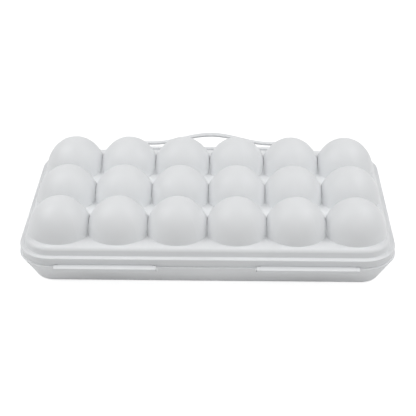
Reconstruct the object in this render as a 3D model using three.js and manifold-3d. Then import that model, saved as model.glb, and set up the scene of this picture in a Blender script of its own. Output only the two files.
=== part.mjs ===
// Egg storage box in white plastic: a shallow tray, a rack with open cups, a lid with one dome for each
// egg, and a loop handle. The lid turns on two long pins along the front of the tray, and the handle
// turns on two short pins at the back of the lid. Millimetres, Z up, the tray stands on Z = 0 and the
// handle points along +Y.
import * as THREE from 'three';
import { mergeVertices } from 'three/addons/utils/BufferGeometryUtils.js';
import Module from 'manifold-3d';

const wasm = await Module();
wasm.setup();

// Egg grid
const columns = 6;
const rows = 3;
const columnPitch = 50;
const rowPitch = 52.9;

// Domes, each a drafted side up to a shoulder and a round cap above it
const domeFootRadius = 27.5;
const domeShoulderRadius = 22.2;
const domeShoulderHeight = 12.9;
const domeWall = 1.8;
const domeSegments = 16;
const domeRings = 4;
const domeHollowSegments = 12;
const domeHollowRings = 4;

// Plan of the lid at its widest, measured from the feet of the outer domes
const endMargin = 5.9;
const sideMargin = 10.3;
const boxCornerRadius = 28.4;
const cornerSteps = 8;

// Clearances
const seamGap = 0.3;
const slideGap = 0.35;
const pinGap = 0.25;
const overrun = 1;

// Tray: its rim stands out past the lid, and its wall leans in from there to a smaller foot
const trayHeight = 23.4;
const trayWall = 1.6;
const trayFootInset = 12.6;
const trayBottomRadius = 5;
const trayBottomSteps = 4;
const rimOverhang = 0.6;
const rimEdge = 0.35;
const lipHeight = 4.8;

// Lid
const lidWall = 1.6;
const skirtHeight = 7.4;
const skirtDraft = 0.7;
const ledgeEdge = 0.7;
const ledgeWidth = 4.4;
const stepHeight = 6.7;
const stepDraft = 0.6;
const deckEdgeRadius = 3;
const deckEdgeSteps = 3;

// Rack
const rackWall = 1.2;
const rackGap = 0.4;
const cupMouthRadius = 22;
const cupWaistRadius = 17.5;
const cupFootRadius = 11;
const cupWaistRise = 6;
const cupSegments = 16;

// Hinge strips along the front: lid sleeve and tray lugs share one section, flat on top and round below
const stripLength = 84.6;
const stripEndMargin = 32.2;
const hingeReach = 3.4;
const hingeAxisDrop = 0.4;
const sleeveRadius = 1.8;
const profileSteps = 8;
const hingePinRadius = 0.8;
const hingeHeadRadius = 1.5;
const hingeHeadLength = 1;
const hingeLugWidth = 3;
const barrelSegments = 20;

// Handle
const handleHalfLength = 80;
const handleThickness = 2.2;
const handleAxisReach = 2.4;
const handleAxisDrop = 3.6;
const rootBarWidth = 4;
const sideBarWidth = 4.6;
const gripFlatReach = 12.7;
const gripFlatWidth = 4.5;
const gripCentreReach = 31.1;
const gripCentreWidth = 5.7;
const gripWaveHalfLength = 58;
const gripSteps = 24;
const handleCornerRadius = 8;
const handleHoleCornerRadius = 3;
const handleCornerSteps = 5;
const earRadius = 2.2;
const earLength = 6.5;
const handlePinRadius = 0.9;
const handlePinDepth = 5.5;
const handleHeadRadius = 1.8;
const handleHeadLength = 1;
const handleLugWidth = 2.8;
const handleLugRadius = 2.6;
const handleLugFootDrop = 5;
const stopWidth = 3.4;
const stopReach = 3;
const stopThickness = 1.8;

// Places and levels worked out from the sizes above
const boxLength = (columns - 1) * columnPitch + 2 * (domeFootRadius + endMargin);
const boxWidth = (rows - 1) * rowPitch + 2 * (domeFootRadius + sideMargin);
const partingZ = trayHeight;
const rimZ = partingZ - rimEdge;
const trayLean = Math.atan((trayFootInset + rimOverhang) / rimZ);
const lipTopZ = partingZ + lipHeight;
const skirtFootZ = partingZ + seamGap;
const ledgeZ = skirtFootZ + skirtHeight;
const deckZ = ledgeZ + stepHeight;
const domeDraft = Math.atan((domeFootRadius - domeShoulderRadius) / domeShoulderHeight);
const domeCapRadius = domeShoulderRadius / Math.cos(domeDraft);
const domeCapZ = deckZ + domeShoulderHeight - domeShoulderRadius * Math.tan(domeDraft);
const lipOuterInset = skirtDraft + lidWall + slideGap;
const lipInnerInset = lipOuterInset + trayWall;
const rackTopZ = partingZ;
const cupFootZ = trayWall + seamGap;
const hingeAxisY = -(boxWidth / 2 + hingeReach);
const hingeAxisZ = partingZ - hingeAxisDrop;
const stripTopZ = hingeAxisZ + sleeveRadius;
const stripFrontY = hingeAxisY - sleeveRadius;
const skirtSweep = Math.hypot(hingeReach + skirtDraft, skirtFootZ - hingeAxisZ);
const lugReach = Math.sqrt((skirtSweep - seamGap) ** 2 - sleeveRadius ** 2);
const stripOuterEnd = boxLength / 2 - stripEndMargin;
const stripInnerEnd = stripOuterEnd - stripLength;
const sleeveInnerEnd = stripInnerEnd + hingeLugWidth + seamGap;
const sleeveOuterEnd = stripOuterEnd - hingeLugWidth - seamGap;
const handleAxisY = boxWidth / 2 + handleAxisReach;
const handleAxisZ = deckZ - handleAxisDrop;

const shellColor = 0xe6e7e8;
const rackColor = 0xdfe1e3;
const pinColor = 0xd8dadc;
const shellRoughness = 0.5;
const pinRoughness = 0.4;

const xAxis = new THREE.Vector3(1, 0, 0);
const yAxis = new THREE.Vector3(0, 1, 0);
const zAxis = new THREE.Vector3(0, 0, 1);

// Solids for cutting and joining

function toSolid(geometry) {
  const bare = geometry.clone();
  bare.deleteAttribute('normal');
  bare.deleteAttribute('uv');
  const merged = mergeVertices(bare);
  const index = merged.index.array;
  const triangles = [];
  for (let i = 0; i < index.length; i += 3) {
    const [a, b, c] = [index[i], index[i + 1], index[i + 2]];
    if (a !== b && b !== c && c !== a) triangles.push(a, b, c);
  }
  const vertProperties = new Float32Array(merged.attributes.position.array);
  const triVerts = new Uint32Array(triangles);
  return new wasm.Manifold(new wasm.Mesh({ numProp: 3, vertProperties, triVerts }));
}

function toGeometry(solid) {
  const mesh = solid.getMesh();
  const geometry = new THREE.BufferGeometry();
  geometry.setAttribute('position', new THREE.BufferAttribute(mesh.vertProperties, 3));
  geometry.setIndex(new THREE.BufferAttribute(mesh.triVerts, 1));
  geometry.computeVertexNormals();
  return geometry;
}

function joined(geometries) {
  return geometries.map(toSolid).reduce((whole, piece) => whole.add(piece));
}

function cutAway(solid, geometries) {
  return geometries.map(toSolid).reduce((whole, piece) => whole.subtract(piece), solid);
}

// Shapes

// The plan of the box, drawn inwards by an inset, as points that start at the front right corner.
function planPoints(inset) {
  const radius = boxCornerRadius - inset;
  const centreX = boxLength / 2 - boxCornerRadius;
  const centreY = boxWidth / 2 - boxCornerRadius;
  const corners = [[1, -1], [1, 1], [-1, 1], [-1, -1]];
  return corners.flatMap(([sideX, sideY], quarter) => {
    const points = [];
    for (let step = 0; step <= cornerSteps; step += 1) {
      const angle = (quarter - 1 + step / cornerSteps) * Math.PI / 2;
      const x = sideX * centreX + radius * Math.cos(angle);
      const y = sideY * centreY + radius * Math.sin(angle);
      points.push(new THREE.Vector2(x, y));
    }
    return points;
  });
}

// A closed solid through the box's plan at several levels, listed from the lowest to the highest.
function planStack(levels) {
  const positions = [];
  const triangles = [];
  const count = planPoints(0).length;
  for (const { z, inset } of levels) {
    for (const point of planPoints(inset)) positions.push(point.x, point.y, z);
  }
  for (let level = 0; level < levels.length - 1; level += 1) {
    for (let i = 0; i < count; i += 1) {
      const low = level * count + i;
      const lowNext = level * count + (i + 1) % count;
      triangles.push(low, lowNext, lowNext + count, low, lowNext + count, low + count);
    }
  }
  const top = (levels.length - 1) * count;
  for (let i = 1; i < count - 1; i += 1) {
    triangles.push(0, i + 1, i);
    triangles.push(top, top + i, top + i + 1);
  }
  const geometry = new THREE.BufferGeometry();
  geometry.setAttribute('position', new THREE.Float32BufferAttribute(positions, 3));
  geometry.setIndex(triangles);
  return geometry;
}

// A solid of revolution that stands on +Z, from points given as [radius, height].
function turned(points, segments) {
  const profile = points.map(([radius, height]) => new THREE.Vector2(radius, height));
  return new THREE.LatheGeometry(profile, segments).rotateX(Math.PI / 2);
}

// The same solid laid along +X, or along -X for the left side of the box.
function turnedAlongX(points, side) {
  return turned(points, barrelSegments).rotateY(side * Math.PI / 2);
}

// A round bar along X between two places.
function barAlongX(radius, fromX, toX, y, z) {
  const length = toX - fromX;
  const points = [[0, 0], [radius, 0], [radius, length], [0, length]];
  return turnedAlongX(points, 1).translate(fromX, y, z);
}

// A profile drawn in Y and Z, made into a block along X.
function profileAlongX(shape, fromX, toX) {
  const settings = { depth: toX - fromX, bevelEnabled: false, curveSegments: profileSteps };
  const geometry = new THREE.ExtrudeGeometry(shape, settings);
  geometry.applyMatrix4(new THREE.Matrix4().makeBasis(yAxis, zAxis, xAxis));
  return geometry.translate(fromX, 0, 0);
}

// A pair of ends along X, one on each side of the box, lowest first.
function sideSpan(side, inner, outer) {
  return side < 0 ? [-outer, -inner] : [inner, outer];
}

const bothSides = [-1, 1];

// One copy of a shape at each egg's place.
function atEachEgg(geometry) {
  const copies = [];
  for (let row = 0; row < rows; row += 1) {
    for (let column = 0; column < columns; column += 1) {
      const x = (column - (columns - 1) / 2) * columnPitch;
      const y = (row - (rows - 1) / 2) * rowPitch;
      copies.push(geometry.clone().translate(x, y, 0));
    }
  }
  return copies;
}

// Tray

// How far in the leaning wall stands at a height, measured a depth below its outer face.
function trayWallInset(z, depth) {
  return (rimZ - z) * Math.tan(trayLean) + depth / Math.cos(trayLean) - rimOverhang;
}

// The round bottom edge of the tray, a depth below its outer face, up to where it meets the leaning wall.
function trayBottomLevels(depth) {
  const levels = [];
  const radius = trayBottomRadius - depth;
  const centreInset = trayWallInset(trayBottomRadius, trayBottomRadius);
  for (let step = 0; step <= trayBottomSteps; step += 1) {
    const angle = step / trayBottomSteps * (Math.PI / 2 - trayLean);
    levels.push({
      z: trayBottomRadius - radius * Math.cos(angle),
      inset: centreInset - radius * Math.sin(angle),
    });
  }
  return levels;
}

function trayOutside() {
  return planStack([
    ...trayBottomLevels(0),
    { z: rimZ, inset: -rimOverhang },
    { z: partingZ, inset: rimEdge - rimOverhang },
    { z: partingZ, inset: lipOuterInset },
    { z: lipTopZ, inset: lipOuterInset },
  ]);
}

// The inside follows the leaning wall until it is right below the lip, and then goes straight up.
function trayHollow() {
  const lipFootZ = rimZ - (lipInnerInset - trayWallInset(rimZ, trayWall)) / Math.tan(trayLean);
  return planStack([
    ...trayBottomLevels(trayWall),
    { z: lipFootZ, inset: lipInnerInset },
    { z: lipTopZ + overrun, inset: lipInnerInset },
  ]);
}

// Where the tray's lugs stand along one strip, as [inner end, outer end].
function hingeLugSpans() {
  return [
    [stripInnerEnd, stripInnerEnd + hingeLugWidth],
    [stripOuterEnd - hingeLugWidth, stripOuterEnd],
  ];
}

// Each lug is flush with the strip, and its top ends short of the path that the skirt sweeps as it opens.
function hingeLugs() {
  const rimY = -boxWidth / 2 + trayWall;
  const section = new THREE.Shape();
  section.moveTo(rimY, partingZ);
  section.lineTo(hingeAxisY + lugReach, partingZ);
  section.lineTo(hingeAxisY + lugReach, stripTopZ);
  section.lineTo(stripFrontY, stripTopZ);
  section.lineTo(stripFrontY, hingeAxisZ);
  section.absarc(hingeAxisY, hingeAxisZ, sleeveRadius, Math.PI, Math.PI * 3 / 2, false);
  section.lineTo(rimY, hingeAxisZ - sleeveRadius);
  return bothSides.flatMap((side) => hingeLugSpans().map(([inner, outer]) => {
    return profileAlongX(section, ...sideSpan(side, inner, outer));
  }));
}

function hingeBores() {
  return bothSides.map((side) => {
    const [fromX, toX] = sideSpan(side, stripInnerEnd - overrun, stripOuterEnd + overrun);
    return barAlongX(hingePinRadius + pinGap, fromX, toX, hingeAxisY, hingeAxisZ);
  });
}

function baseTray() {
  const solid = joined([trayOutside(), ...hingeLugs()]);
  return toGeometry(cutAway(solid, [trayHollow(), ...hingeBores()]));
}

// Rack

function cupProfile(wall) {
  return [
    [cupFootRadius + wall, cupFootZ],
    [cupWaistRadius + wall, cupFootZ + cupWaistRise],
    [cupMouthRadius + wall, rackTopZ],
  ];
}

function cupOutside() {
  return turned([[0, cupFootZ], ...cupProfile(rackWall), [0, rackTopZ]], cupSegments);
}

function cupInside() {
  return turned([
    [0, cupFootZ - overrun],
    [cupFootRadius, cupFootZ - overrun],
    ...cupProfile(0),
    [cupMouthRadius, rackTopZ + overrun],
    [0, rackTopZ + overrun],
  ], cupSegments);
}

function eggRack() {
  const plate = planStack([
    { z: rackTopZ - rackWall, inset: lipInnerInset + rackGap },
    { z: rackTopZ, inset: lipInnerInset + rackGap },
  ]);
  const solid = joined([plate, ...atEachEgg(cupOutside())]);
  return toGeometry(cutAway(solid, atEachEgg(cupInside())));
}

// Lid

const stepTopInset = ledgeWidth + stepDraft;

function deckEdgeLevels() {
  const levels = [];
  for (let step = 0; step <= deckEdgeSteps; step += 1) {
    const angle = step / deckEdgeSteps * Math.PI / 2;
    levels.push({
      z: deckZ - deckEdgeRadius * (1 - Math.sin(angle)),
      inset: stepTopInset + deckEdgeRadius * (1 - Math.cos(angle)),
    });
  }
  return levels;
}

function lidOutside() {
  return planStack([
    { z: skirtFootZ, inset: skirtDraft },
    { z: ledgeZ - ledgeEdge, inset: 0 },
    { z: ledgeZ, inset: ledgeEdge },
    { z: ledgeZ, inset: ledgeWidth },
    ...deckEdgeLevels(),
  ]);
}

function lidHollow() {
  return planStack([
    { z: skirtFootZ - overrun, inset: skirtDraft + lidWall },
    { z: skirtFootZ, inset: skirtDraft + lidWall },
    { z: ledgeZ - lidWall, inset: lidWall },
    { z: ledgeZ - lidWall, inset: ledgeWidth + lidWall },
    { z: deckZ - deckEdgeRadius, inset: stepTopInset + lidWall },
    { z: deckZ - lidWall, inset: stepTopInset + deckEdgeRadius },
  ]);
}

// A dome a depth below its outer face, with a short round foot that reaches down into the deck.
function dome(depth, footDepth, segments, rings) {
  const capRadius = domeCapRadius - depth;
  const footRadius = domeFootRadius - depth / Math.cos(domeDraft);
  const points = [[0, deckZ - footDepth], [footRadius, deckZ - footDepth], [footRadius, deckZ]];
  for (let ring = 0; ring < rings; ring += 1) {
    const angle = domeDraft + ring / rings * (Math.PI / 2 - domeDraft);
    points.push([capRadius * Math.cos(angle), domeCapZ + capRadius * Math.sin(angle)]);
  }
  points.push([0, domeCapZ + capRadius]);
  return turned(points, segments);
}

// Each hinge strip's leaf leaves the skirt level with the top of the sleeve, above the tray's rim.
function hingeSleeves() {
  const skirtY = -boxWidth / 2 + skirtDraft + lidWall / 2;
  const section = new THREE.Shape();
  section.moveTo(skirtY, skirtFootZ);
  section.lineTo(skirtY, stripTopZ);
  section.lineTo(stripFrontY, stripTopZ);
  section.lineTo(stripFrontY, hingeAxisZ);
  section.absarc(hingeAxisY, hingeAxisZ, sleeveRadius, Math.PI, Math.PI * 2, false);
  section.lineTo(hingeAxisY + sleeveRadius, skirtFootZ);
  return bothSides.map((side) => {
    return profileAlongX(section, ...sideSpan(side, sleeveInnerEnd, sleeveOuterEnd));
  });
}

// The lug at each end of the handle: a plate from the skirt out and up around the handle's pin.
function handleLugs() {
  const skirtY = boxWidth / 2 - lidWall / 2;
  const footZ = ledgeZ - handleLugFootDrop;
  const shape = new THREE.Shape();
  shape.moveTo(skirtY, footZ);
  shape.lineTo(handleAxisY, footZ + handleAxisReach);
  shape.absarc(handleAxisY, handleAxisZ, handleLugRadius, -Math.PI / 4, Math.PI * 3 / 4, false);
  shape.lineTo(skirtY, ledgeZ - ledgeEdge);
  return bothSides.map((side) => {
    const inner = handleHalfLength + pinGap;
    return profileAlongX(shape, ...sideSpan(side, inner, inner + handleLugWidth));
  });
}

// The stop under each end of the handle: it dips below the ear and rises beyond it to meet the side bar.
function handleStops() {
  const skirtY = boxWidth / 2 - lidWall / 2;
  const restZ = handleAxisZ - handleThickness / 2 - seamGap;
  const dipZ = handleAxisZ - earRadius - seamGap;
  const riseY = handleAxisY + earRadius + seamGap;
  const shape = new THREE.Shape([
    new THREE.Vector2(skirtY, dipZ - 2 * stopThickness),
    new THREE.Vector2(riseY + stopReach, restZ - stopThickness),
    new THREE.Vector2(riseY + stopReach, restZ),
    new THREE.Vector2(riseY, restZ),
    new THREE.Vector2(riseY, dipZ),
    new THREE.Vector2(skirtY, dipZ),
  ]);
  return bothSides.map((side) => {
    const span = sideSpan(side, handleHalfLength - sideBarWidth, handleHalfLength - sideBarWidth + stopWidth);
    return profileAlongX(shape, ...span);
  });
}

function handleBores() {
  return bothSides.map((side) => {
    const inner = handleHalfLength - handlePinDepth;
    const outer = handleHalfLength + pinGap + handleLugWidth + overrun;
    const [fromX, toX] = sideSpan(side, inner, outer);
    return barAlongX(handlePinRadius + pinGap, fromX, toX, handleAxisY, handleAxisZ);
  });
}

function lidShell() {
  const domes = atEachEgg(dome(0, deckEdgeRadius, domeSegments, domeRings));
  const hollows = atEachEgg(dome(domeWall, lidWall + overrun, domeHollowSegments, domeHollowRings));
  const solid = joined([lidOutside(), ...domes, ...hingeSleeves(), ...handleLugs(), ...handleStops()]);
  return toGeometry(cutAway(solid, [lidHollow(), ...hollows, ...hingeBores(), ...handleBores()]));
}

// Handle

// One edge of the grip bar from right to left: level at the ends, with a smooth swell in the middle.
function gripEdge(flatReach, centreReach) {
  const points = [];
  for (let step = 0; step <= gripSteps; step += 1) {
    const place = 1 - 2 * step / gripSteps;
    const swell = (1 + Math.cos(place * Math.PI)) / 2;
    points.push(new THREE.Vector2(place * gripWaveHalfLength, flatReach + (centreReach - flatReach) * swell));
  }
  return points;
}

// A closed outline of the loop, or of its hole, with round far corners.
function loopOutline(path, halfLength, nearReach, flatReach, centreReach, cornerRadius) {
  const cornerX = halfLength - cornerRadius;
  const cornerY = flatReach - cornerRadius;
  path.moveTo(-halfLength, nearReach);
  path.lineTo(halfLength, nearReach);
  path.lineTo(halfLength, cornerY);
  path.absarc(cornerX, cornerY, cornerRadius, 0, Math.PI / 2, false);
  for (const point of gripEdge(flatReach, centreReach)) path.lineTo(point.x, point.y);
  path.lineTo(-cornerX, flatReach);
  path.absarc(-cornerX, cornerY, cornerRadius, Math.PI / 2, Math.PI, false);
  path.lineTo(-halfLength, nearReach);
  return path;
}

function handleLoop() {
  const near = rootBarWidth / 2;
  const flatInner = gripFlatReach - gripFlatWidth;
  const centreInner = gripCentreReach - gripCentreWidth;
  const holeHalfLength = handleHalfLength - sideBarWidth;
  const loop = new THREE.Shape();
  const hole = new THREE.Path();
  loopOutline(loop, handleHalfLength, -near, gripFlatReach, gripCentreReach, handleCornerRadius);
  loopOutline(hole, holeHalfLength, near, flatInner, centreInner, handleHoleCornerRadius);
  loop.holes.push(hole);
  const settings = { depth: handleThickness, bevelEnabled: false, curveSegments: handleCornerSteps };
  const geometry = new THREE.ExtrudeGeometry(loop, settings);
  return geometry.translate(0, handleAxisY, handleAxisZ - handleThickness / 2);
}

function handleEars() {
  return bothSides.map((side) => {
    const [fromX, toX] = sideSpan(side, handleHalfLength - earLength, handleHalfLength);
    return barAlongX(earRadius, fromX, toX, handleAxisY, handleAxisZ);
  });
}

function carryHandle() {
  return toGeometry(cutAway(joined([handleLoop(), ...handleEars()]), handleBores()));
}

// Pins

// The hinge pin's head is at the end nearer the middle of the box.
function hingePin(side) {
  const shankEnd = hingeHeadLength + seamGap + stripLength;
  const points = [
    [0, 0],
    [hingeHeadRadius, 0],
    [hingeHeadRadius, hingeHeadLength],
    [hingePinRadius, hingeHeadLength],
    [hingePinRadius, shankEnd],
    [0, shankEnd],
  ];
  const startX = stripInnerEnd - seamGap - hingeHeadLength;
  return turnedAlongX(points, side).translate(side * startX, hingeAxisY, hingeAxisZ);
}

// The handle pin's head is outside its lug.
function handlePin(side) {
  const startX = handleHalfLength - handlePinDepth + pinGap;
  const shankEnd = handleHalfLength + pinGap + handleLugWidth + seamGap - startX;
  const points = [
    [0, 0],
    [handlePinRadius, 0],
    [handlePinRadius, shankEnd],
    [handleHeadRadius, shankEnd],
    [handleHeadRadius, shankEnd + handleHeadLength],
    [0, shankEnd + handleHeadLength],
  ];
  return turnedAlongX(points, side).translate(side * startX, handleAxisY, handleAxisZ);
}

// The whole box

function named(name, geometry, color, roughness) {
  const material = new THREE.MeshStandardMaterial({ color, roughness, metalness: 0 });
  const mesh = new THREE.Mesh(geometry, material);
  mesh.name = name;
  return mesh;
}

const eggBox = new THREE.Group();
eggBox.add(named('base_tray', baseTray(), shellColor, shellRoughness));
eggBox.add(named('egg_rack', eggRack(), rackColor, shellRoughness));
eggBox.add(named('lid_shell', lidShell(), shellColor, shellRoughness));
eggBox.add(named('carry_handle', carryHandle(), shellColor, shellRoughness));
for (const side of bothSides) {
  const sideName = side < 0 ? 'left' : 'right';
  eggBox.add(named(`hinge_pin_${sideName}`, hingePin(side), pinColor, pinRoughness));
  eggBox.add(named(`handle_pin_${sideName}`, handlePin(side), pinColor, pinRoughness));
}

export default eggBox;
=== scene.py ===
"""Looks of the egg storage box: satin white plastic with eighteen domes, seen from the front and above.

All lengths are in metres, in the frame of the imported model: X along the box, Y from the hinge to the
handle, Z up from the table.
"""
import math

import bmesh
import bpy
import numpy as np
from mathutils import Matrix, Vector
from mathutils.geometry import tessellate_polygon


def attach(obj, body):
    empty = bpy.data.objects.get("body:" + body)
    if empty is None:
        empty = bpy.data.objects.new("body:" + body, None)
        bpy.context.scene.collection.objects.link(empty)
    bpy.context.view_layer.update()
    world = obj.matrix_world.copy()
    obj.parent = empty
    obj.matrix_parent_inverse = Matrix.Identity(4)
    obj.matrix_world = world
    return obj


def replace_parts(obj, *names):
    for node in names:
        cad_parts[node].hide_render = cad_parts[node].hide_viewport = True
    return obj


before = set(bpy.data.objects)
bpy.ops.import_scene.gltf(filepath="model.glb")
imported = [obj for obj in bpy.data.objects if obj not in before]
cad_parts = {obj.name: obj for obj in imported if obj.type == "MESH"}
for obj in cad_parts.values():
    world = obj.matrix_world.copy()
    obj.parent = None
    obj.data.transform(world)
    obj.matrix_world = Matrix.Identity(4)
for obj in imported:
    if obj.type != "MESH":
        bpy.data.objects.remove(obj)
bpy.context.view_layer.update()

MM = 0.001

# Egg grid and domes. The shoulder sets a dome's height, as on the solids, and the half height its curve.
COLUMNS = 6
ROWS = 3
COLUMN_PITCH = 50 * MM
ROW_PITCH = 52.9 * MM
DOME_FOOT_RADIUS = 27.5 * MM
DOME_SHOULDER_RADIUS = 22.2 * MM
DOME_SHOULDER_HEIGHT = 12.9 * MM
DOME_HALF_HEIGHT = 34 * MM
DOME_FILLET = 0.6 * MM
LEAST_BLEND = 0.00035 * MM
CREASE_BLEND = 0.35 * MM
SADDLE_BLEND = 1.2 * MM

# Plan of the box
END_MARGIN = 5.9 * MM
SIDE_MARGIN = 10.3 * MM
CORNER_RADIUS = 28.4 * MM
HALF_LENGTH = (COLUMNS - 1) / 2 * COLUMN_PITCH + DOME_FOOT_RADIUS + END_MARGIN
HALF_WIDTH = (ROWS - 1) / 2 * ROW_PITCH + DOME_FOOT_RADIUS + SIDE_MARGIN

# Clearances. The closed seam and the sweep gap are the scene's own, tighter than the solids' seam gap.
SEAM_GAP = 0.3 * MM
CLOSED_SEAM = 0.03 * MM
SWEEP_GAP = 0.15 * MM
SLIDE_GAP = 0.35 * MM
PIN_GAP = 0.25 * MM

# Tray
TRAY_HEIGHT = 23.4 * MM
WALL = 1.6 * MM
TRAY_FOOT_INSET = 12.6 * MM
TRAY_BOTTOM_RADIUS = 5 * MM
RIM_OVERHANG = 0.6 * MM
RIM_EDGE = 0.35 * MM
LIP_HEIGHT = 4.8 * MM
LIP_FOOT_RADIUS = 6 * MM

# Lid
SKIRT_HEIGHT = 7.4 * MM
SKIRT_DRAFT = 0.7 * MM
SKIRT_FOOT_STEP = 0.4 * MM
LEDGE_EDGE = 0.7 * MM
LEDGE_WIDTH = 4.4 * MM
STEP_HEIGHT = 6.7 * MM
STEP_DRAFT = 0.6 * MM
DECK_EDGE_RADIUS = 3 * MM
DECK_EDGE_SHARE = 0.93
LEDGE_FILLET = 0.6 * MM
THIN_EDGE = 0.3 * MM
SHARP_EDGE = 0.15 * MM
FINE_EDGE = 0.06 * MM

# Rack
RACK_WALL = 1.2 * MM
RACK_GAP = 0.4 * MM
CUP_MOUTH_RADIUS = 22 * MM
CUP_WAIST_RADIUS = 17.5 * MM
CUP_FOOT_RADIUS = 11 * MM
CUP_WAIST_RISE = 6 * MM
CUP_LIP_RADIUS = 1.6 * MM
CUP_WAIST_BEND = 8 * MM

# Hinge strips
STRIP_LENGTH = 84.6 * MM
STRIP_END_MARGIN = 32.2 * MM
HINGE_REACH = 3.4 * MM
HINGE_AXIS_DROP = 0.4 * MM
SLEEVE_RADIUS = 1.8 * MM
HINGE_PIN_RADIUS = 0.8 * MM
HINGE_HEAD_RADIUS = 1.5 * MM
HINGE_HEAD_LENGTH = 1 * MM
HINGE_LUG_WIDTH = 3 * MM

# Handle
HANDLE_HALF_LENGTH = 80 * MM
HANDLE_THICKNESS = 2.2 * MM
HANDLE_AXIS_REACH = 2.4 * MM
HANDLE_AXIS_DROP = 3.6 * MM
ROOT_BAR_WIDTH = 4 * MM
SIDE_BAR_WIDTH = 4.6 * MM
GRIP_FLAT_REACH = 12.7 * MM
GRIP_FLAT_WIDTH = 4.5 * MM
GRIP_CENTRE_REACH = 31.1 * MM
GRIP_CENTRE_WIDTH = 5.7 * MM
GRIP_WAVE_HALF_LENGTH = 58 * MM
HANDLE_CORNER_RADIUS = 8 * MM
HANDLE_HOLE_CORNER_RADIUS = 3 * MM
HANDLE_NEAR_CORNER_RADIUS = 1.5 * MM
HANDLE_EDGE_RADIUS = 0.6 * MM
EAR_RADIUS = 2.2 * MM
EAR_LENGTH = 6.5 * MM
HANDLE_PIN_RADIUS = 0.9 * MM
HANDLE_PIN_DEPTH = 5.5 * MM
HANDLE_HEAD_RADIUS = 1.8 * MM
HANDLE_HEAD_LENGTH = 1 * MM
HANDLE_LUG_WIDTH = 2.8 * MM
HANDLE_LUG_RADIUS = 2.6 * MM
HANDLE_LUG_FOOT_DROP = 5 * MM
STOP_WIDTH = 3.4 * MM
STOP_REACH = 3 * MM
STOP_THICKNESS = 1.8 * MM

# Innermost ring of a pin's end, as a share of the radius there
PIN_END_SHARE = 0.2

# Levels and places worked out from the sizes above
PARTING_Z = TRAY_HEIGHT
RIM_Z = PARTING_Z - RIM_EDGE
TRAY_LEAN = math.atan((TRAY_FOOT_INSET + RIM_OVERHANG) / RIM_Z)
LIP_TOP_Z = PARTING_Z + LIP_HEIGHT
SKIRT_FOOT_Z = PARTING_Z + CLOSED_SEAM
LEAF_FOOT_Z = PARTING_Z + SEAM_GAP
LEDGE_Z = PARTING_Z + SEAM_GAP + SKIRT_HEIGHT
DECK_Z = LEDGE_Z + STEP_HEIGHT
DOME_DRAFT = math.atan((DOME_FOOT_RADIUS - DOME_SHOULDER_RADIUS) / DOME_SHOULDER_HEIGHT)
DOME_CAP_RADIUS = DOME_SHOULDER_RADIUS / math.cos(DOME_DRAFT)
DOME_RISE = DOME_SHOULDER_HEIGHT - DOME_SHOULDER_RADIUS * math.tan(DOME_DRAFT) + DOME_CAP_RADIUS
DOME_SUNK = DOME_HALF_HEIGHT - DOME_RISE
DOME_HALF_WIDTH = DOME_FOOT_RADIUS / math.sqrt(1 - (DOME_SUNK / DOME_HALF_HEIGHT) ** 2)
DOME_FOOT_DRAFT = math.atan((DOME_HALF_WIDTH / DOME_HALF_HEIGHT) ** 2 * DOME_SUNK / DOME_FOOT_RADIUS)
SADDLE_HEIGHT = DOME_HALF_HEIGHT * math.sqrt(1 - (COLUMN_PITCH / 2 / DOME_HALF_WIDTH) ** 2) - DOME_SUNK
LIP_OUTER_INSET = SKIRT_DRAFT + WALL + SLIDE_GAP
LIP_INNER_INSET = LIP_OUTER_INSET + WALL
RACK_TOP_Z = PARTING_Z
CUP_FOOT_Z = WALL + SEAM_GAP
STEP_TOP_INSET = LEDGE_WIDTH + STEP_DRAFT
DECK_FLAT_INSET = STEP_TOP_INSET + DECK_EDGE_RADIUS
HINGE_Y = -(HALF_WIDTH + HINGE_REACH)
HINGE_Z = PARTING_Z - HINGE_AXIS_DROP
STRIP_TOP_Z = HINGE_Z + SLEEVE_RADIUS
STRIP_FRONT_Y = HINGE_Y - SLEEVE_RADIUS
SKIRT_SWEEP = math.hypot(HINGE_REACH + SKIRT_DRAFT + SKIRT_FOOT_STEP, SKIRT_FOOT_Z - HINGE_Z)
LUG_REACH = math.sqrt((SKIRT_SWEEP - SWEEP_GAP) ** 2 - SLEEVE_RADIUS ** 2)
STRIP_OUTER_END = HALF_LENGTH - STRIP_END_MARGIN
STRIP_INNER_END = STRIP_OUTER_END - STRIP_LENGTH
HANDLE_Y = HALF_WIDTH + HANDLE_AXIS_REACH
HANDLE_Z = DECK_Z - HANDLE_AXIS_DROP

# How finely the meshes are made
SIDE_STEPS = 16
ROLL_STEPS = 6
CELL_RINGS = 28
DENSE_STEPS = 700
BEND_WEIGHT = 6 * MM
CORNER_STEPS = 24
EDGE_STEPS = 4
LONGEST_BEND_SHARE = 0.49
SLEEVE_STEPS = 14
HINGE_LUG_STEPS = 8
HANDLE_LUG_STEPS = 12
BORE_STEPS = 24
EAR_STEPS = 40
PIN_STEPS = 32
ROOT_BAR_STEPS = 12
GRIP_STEPS = 48
NEAR_CORNER_STEPS = 5
FAR_CORNER_STEPS = 8
BEVEL_STEPS = 3
MERGE_DISTANCE = 0.002 * MM
OUTLINE_SLACK = MERGE_DISTANCE / 4
SLIVER_LENGTH = MERGE_DISTANCE / 10
LONGEST_RAY = 2 * DOME_FOOT_RADIUS
HALVINGS = 40

# Plastics: colour, roughness and strength of the grain
SHELL_PLASTIC = ((0.838, 0.85, 0.862), 0.45, 0.25)
RACK_PLASTIC = ((0.8, 0.812, 0.825), 0.48, 0.3)
PIN_PLASTIC = ((0.79, 0.8, 0.81), 0.38, 0.15)
PLASTIC_IOR = 1.49

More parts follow.
